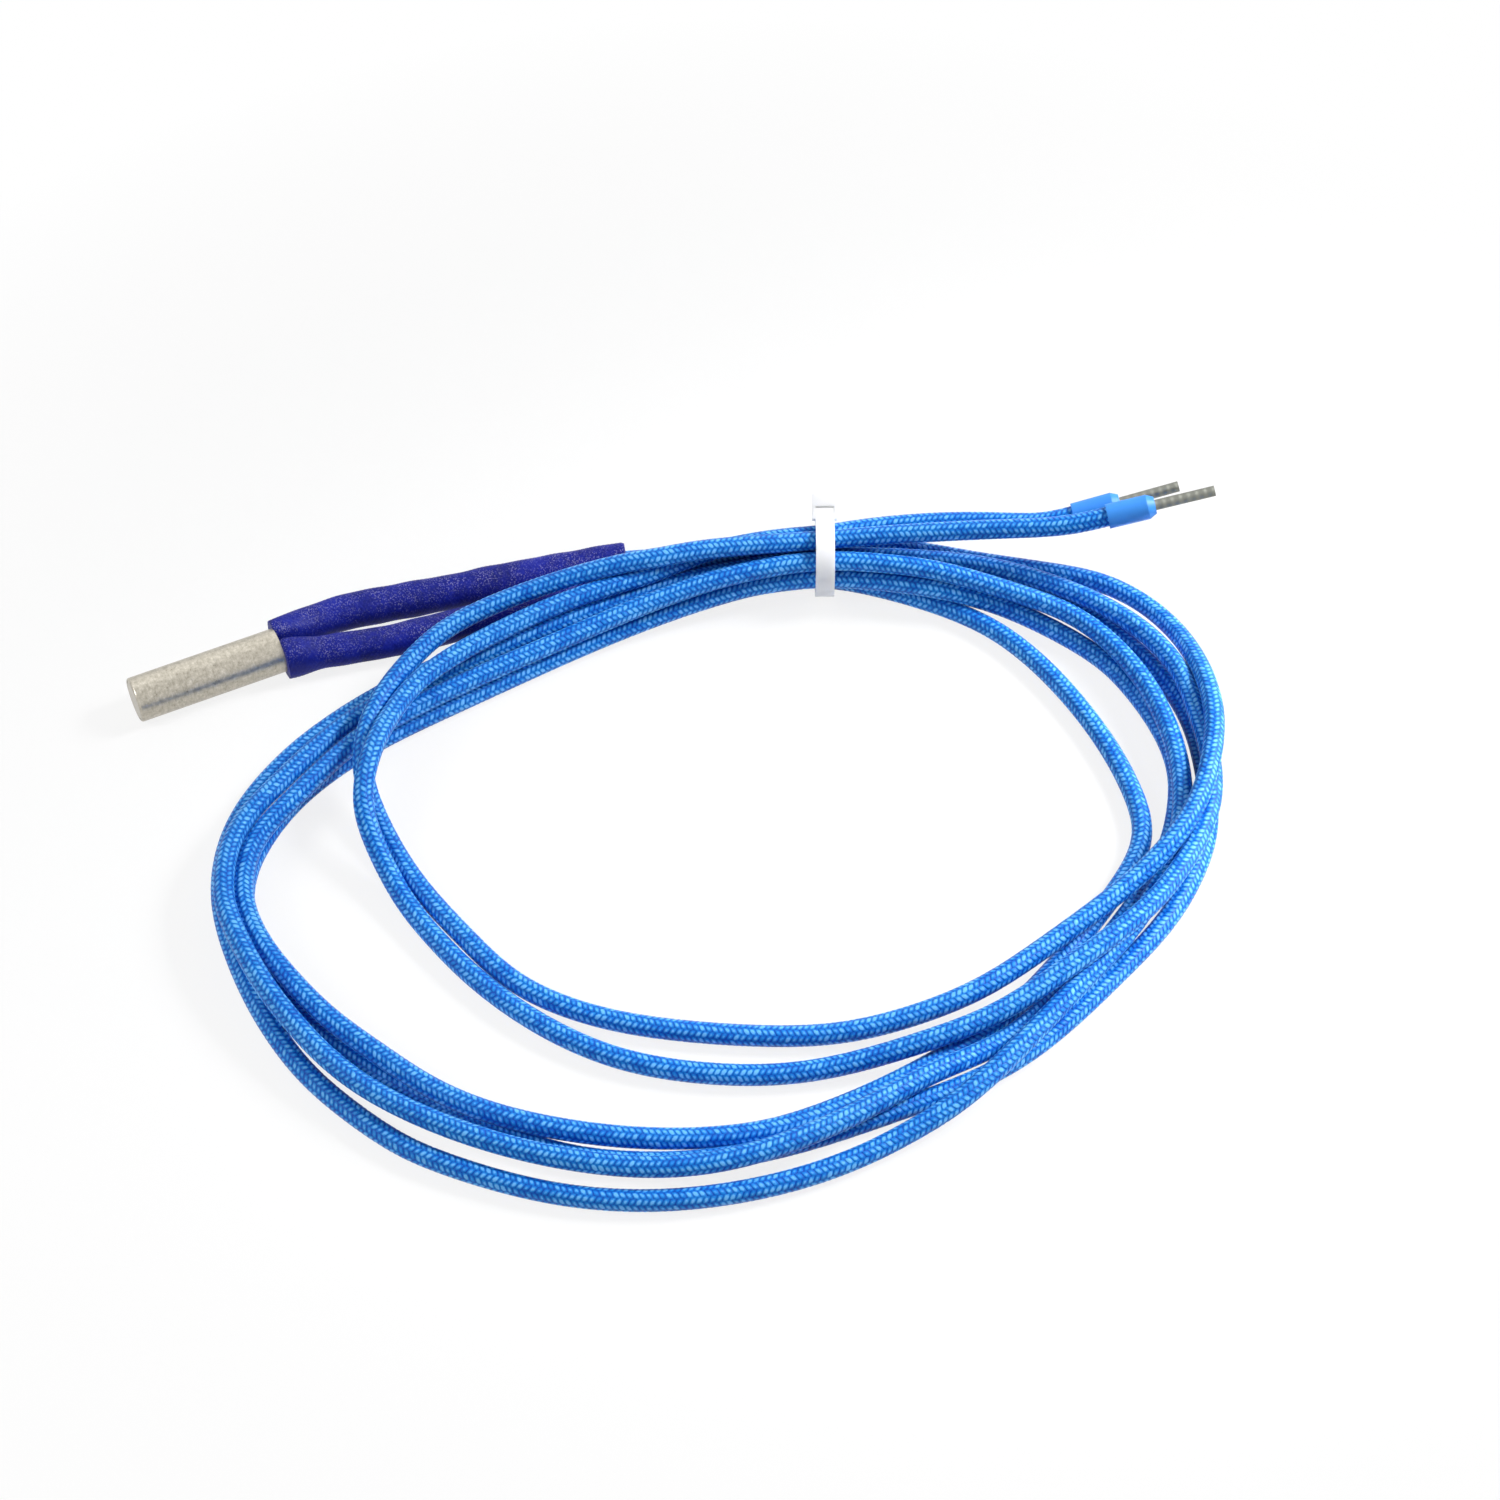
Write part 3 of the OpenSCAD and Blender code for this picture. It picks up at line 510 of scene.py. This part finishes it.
def tie_material():
    """White nylon that lets a little light in."""
    m, _, b = material("tie_white", (0.97, 0.97, 0.97), 0.45)
    b.inputs["Subsurface Weight"].default_value = 0.5
    b.inputs["Subsurface Scale"].default_value = 0.002
    b.inputs["Subsurface Radius"].default_value = (1.0, 1.0, 1.0)
    return m


def paint(ob, m):
    """The object's one material."""
    ob.data.materials.clear()
    ob.data.materials.append(m)


braid = braid_material()
coat = sleeve_material()
steel = steel_material()
tinned = tinned_material()
collar_blue = material("collar_blue", (0.03, 0.24, 0.74), 0.5)[0]
tie_white = tie_material()
copper = material("copper", (0.72, 0.4, 0.22), 0.4, 1.0)[0]
ceramic = material("ceramic", (0.85, 0.82, 0.74), 0.8)[0]
wire = material("resistance_wire", (0.5, 0.48, 0.45), 0.35, 1.0)[0]

for ob in (lead_a, lead_b):
    paint(ob, braid)
for ob in (sleeve_a, sleeve_b):
    paint(ob, coat)
for ob_names, m in (
        (("sheath_tube", "end_disc"), steel),
        (("base_pad", "ceramic_core", "insulation_fill", "end_seal"), ceramic),
        (("heating_coil", "terminal_pin_a", "terminal_pin_b"), wire),
        (("ferrule_collar_a", "ferrule_collar_b"), collar_blue),
        (("ferrule_pin_a", "ferrule_pin_b"), tinned),
        (("conductor_a", "conductor_b"), copper),
        (("cable_tie",), tie_white)):
    for n in ob_names:
        for s in nodes[n].material_slots:
            s.material = m

# Floor and light

AMBIENT = 0.245
MIDDLE = (0.055, -0.045, 0.0)
FLOOR_HALF = 3.0
GLOW_NEAR, GLOW_FAR = 0.84, 1.0
NEAR, FAR = 0.08, 0.16


def seen_directly(t):
    """1 for rays from the camera, a reflection or a transmission, and 0 for the rest."""
    path = add(t, "ShaderNodeLightPath")
    seen = calc(t, "MAXIMUM", path.outputs["Is Camera Ray"], path.outputs["Is Glossy Ray"])
    return calc(t, "MAXIMUM", seen, path.outputs["Is Transmission Ray"])


floor_mesh = bpy.data.meshes.new("floor")
corners = [(x * FLOOR_HALF, y * FLOOR_HALF, 0) for x, y in ((-1, -1), (1, -1), (1, 1), (-1, 1))]
floor_mesh.from_pydata(corners, [], [(0, 1, 2, 3)])
floor = bpy.data.objects.new("floor", floor_mesh)
bpy.context.scene.collection.objects.link(floor)
# The floor shows its shadows near the object and fades to plain white further out
white, tree, shader = material("floor_white", (0.85, 0.85, 0.85), 0.8)
glow = add(tree, "ShaderNodeEmission")
blend = add(tree, "ShaderNodeMixShader")
place = add(tree, "ShaderNodeNewGeometry")
away = add(tree, "ShaderNodeVectorMath", operation="DISTANCE")
tree.links.new(place.outputs["Position"], away.inputs[0])
away.inputs[1].default_value = MIDDLE
share = add(tree, "ShaderNodeMapRange")
tree.links.new(away.outputs["Value"], share.inputs["Value"])
for name, value in (("From Min", NEAR), ("From Max", FAR),
                    ("To Min", GLOW_NEAR), ("To Max", GLOW_FAR)):
    share.inputs[name].default_value = value
shown = calc(tree, "MULTIPLY", seen_directly(tree), share.outputs["Result"])
tree.links.new(shown, blend.inputs[0])
tree.links.new(shader.outputs[0], blend.inputs[1])
tree.links.new(glow.outputs[0], blend.inputs[2])
tree.links.new(blend.outputs[0], tree.nodes["Material Output"].inputs["Surface"])
paint(floor, white)

world = bpy.data.worlds.new("studio")
bpy.context.scene.world = world
world.use_nodes = True
tree = world.node_tree
tree.nodes["Background"].inputs["Color"].default_value = (1, 1, 1, 1)
tree.links.new(calc(tree, "MULTIPLY_ADD", seen_directly(tree), 1 - AMBIENT, AMBIENT),
               tree.nodes["Background"].inputs["Strength"])


def lamp(name, at, to, size, watts, spread=180):
    """A round area lamp at a place, turned to another, with its spread in degrees."""
    d = bpy.data.lights.new(name, "AREA")
    d.shape, d.size, d.energy = "DISK", size, watts
    d.spread = math.radians(spread)
    ob = bpy.data.objects.new(name, d)
    ob.location = at
    ob.rotation_mode = "QUATERNION"
    ob.rotation_quaternion = (Vector(to) - Vector(at)).to_track_quat("-Z", "Y")
    bpy.context.scene.collection.objects.link(ob)


lamp("key", (0.25, 0.5, 0.6), MIDDLE, 1.1, 1.45)
lamp("side", (0.42, -0.1, 0.28), (0.13, -0.075, 0.0), 0.2, 0.26, 36)
lamp("left", (-0.3, 0.0, 0.3), (-0.01, -0.05, 0.0), 0.2, 0.05, 36)
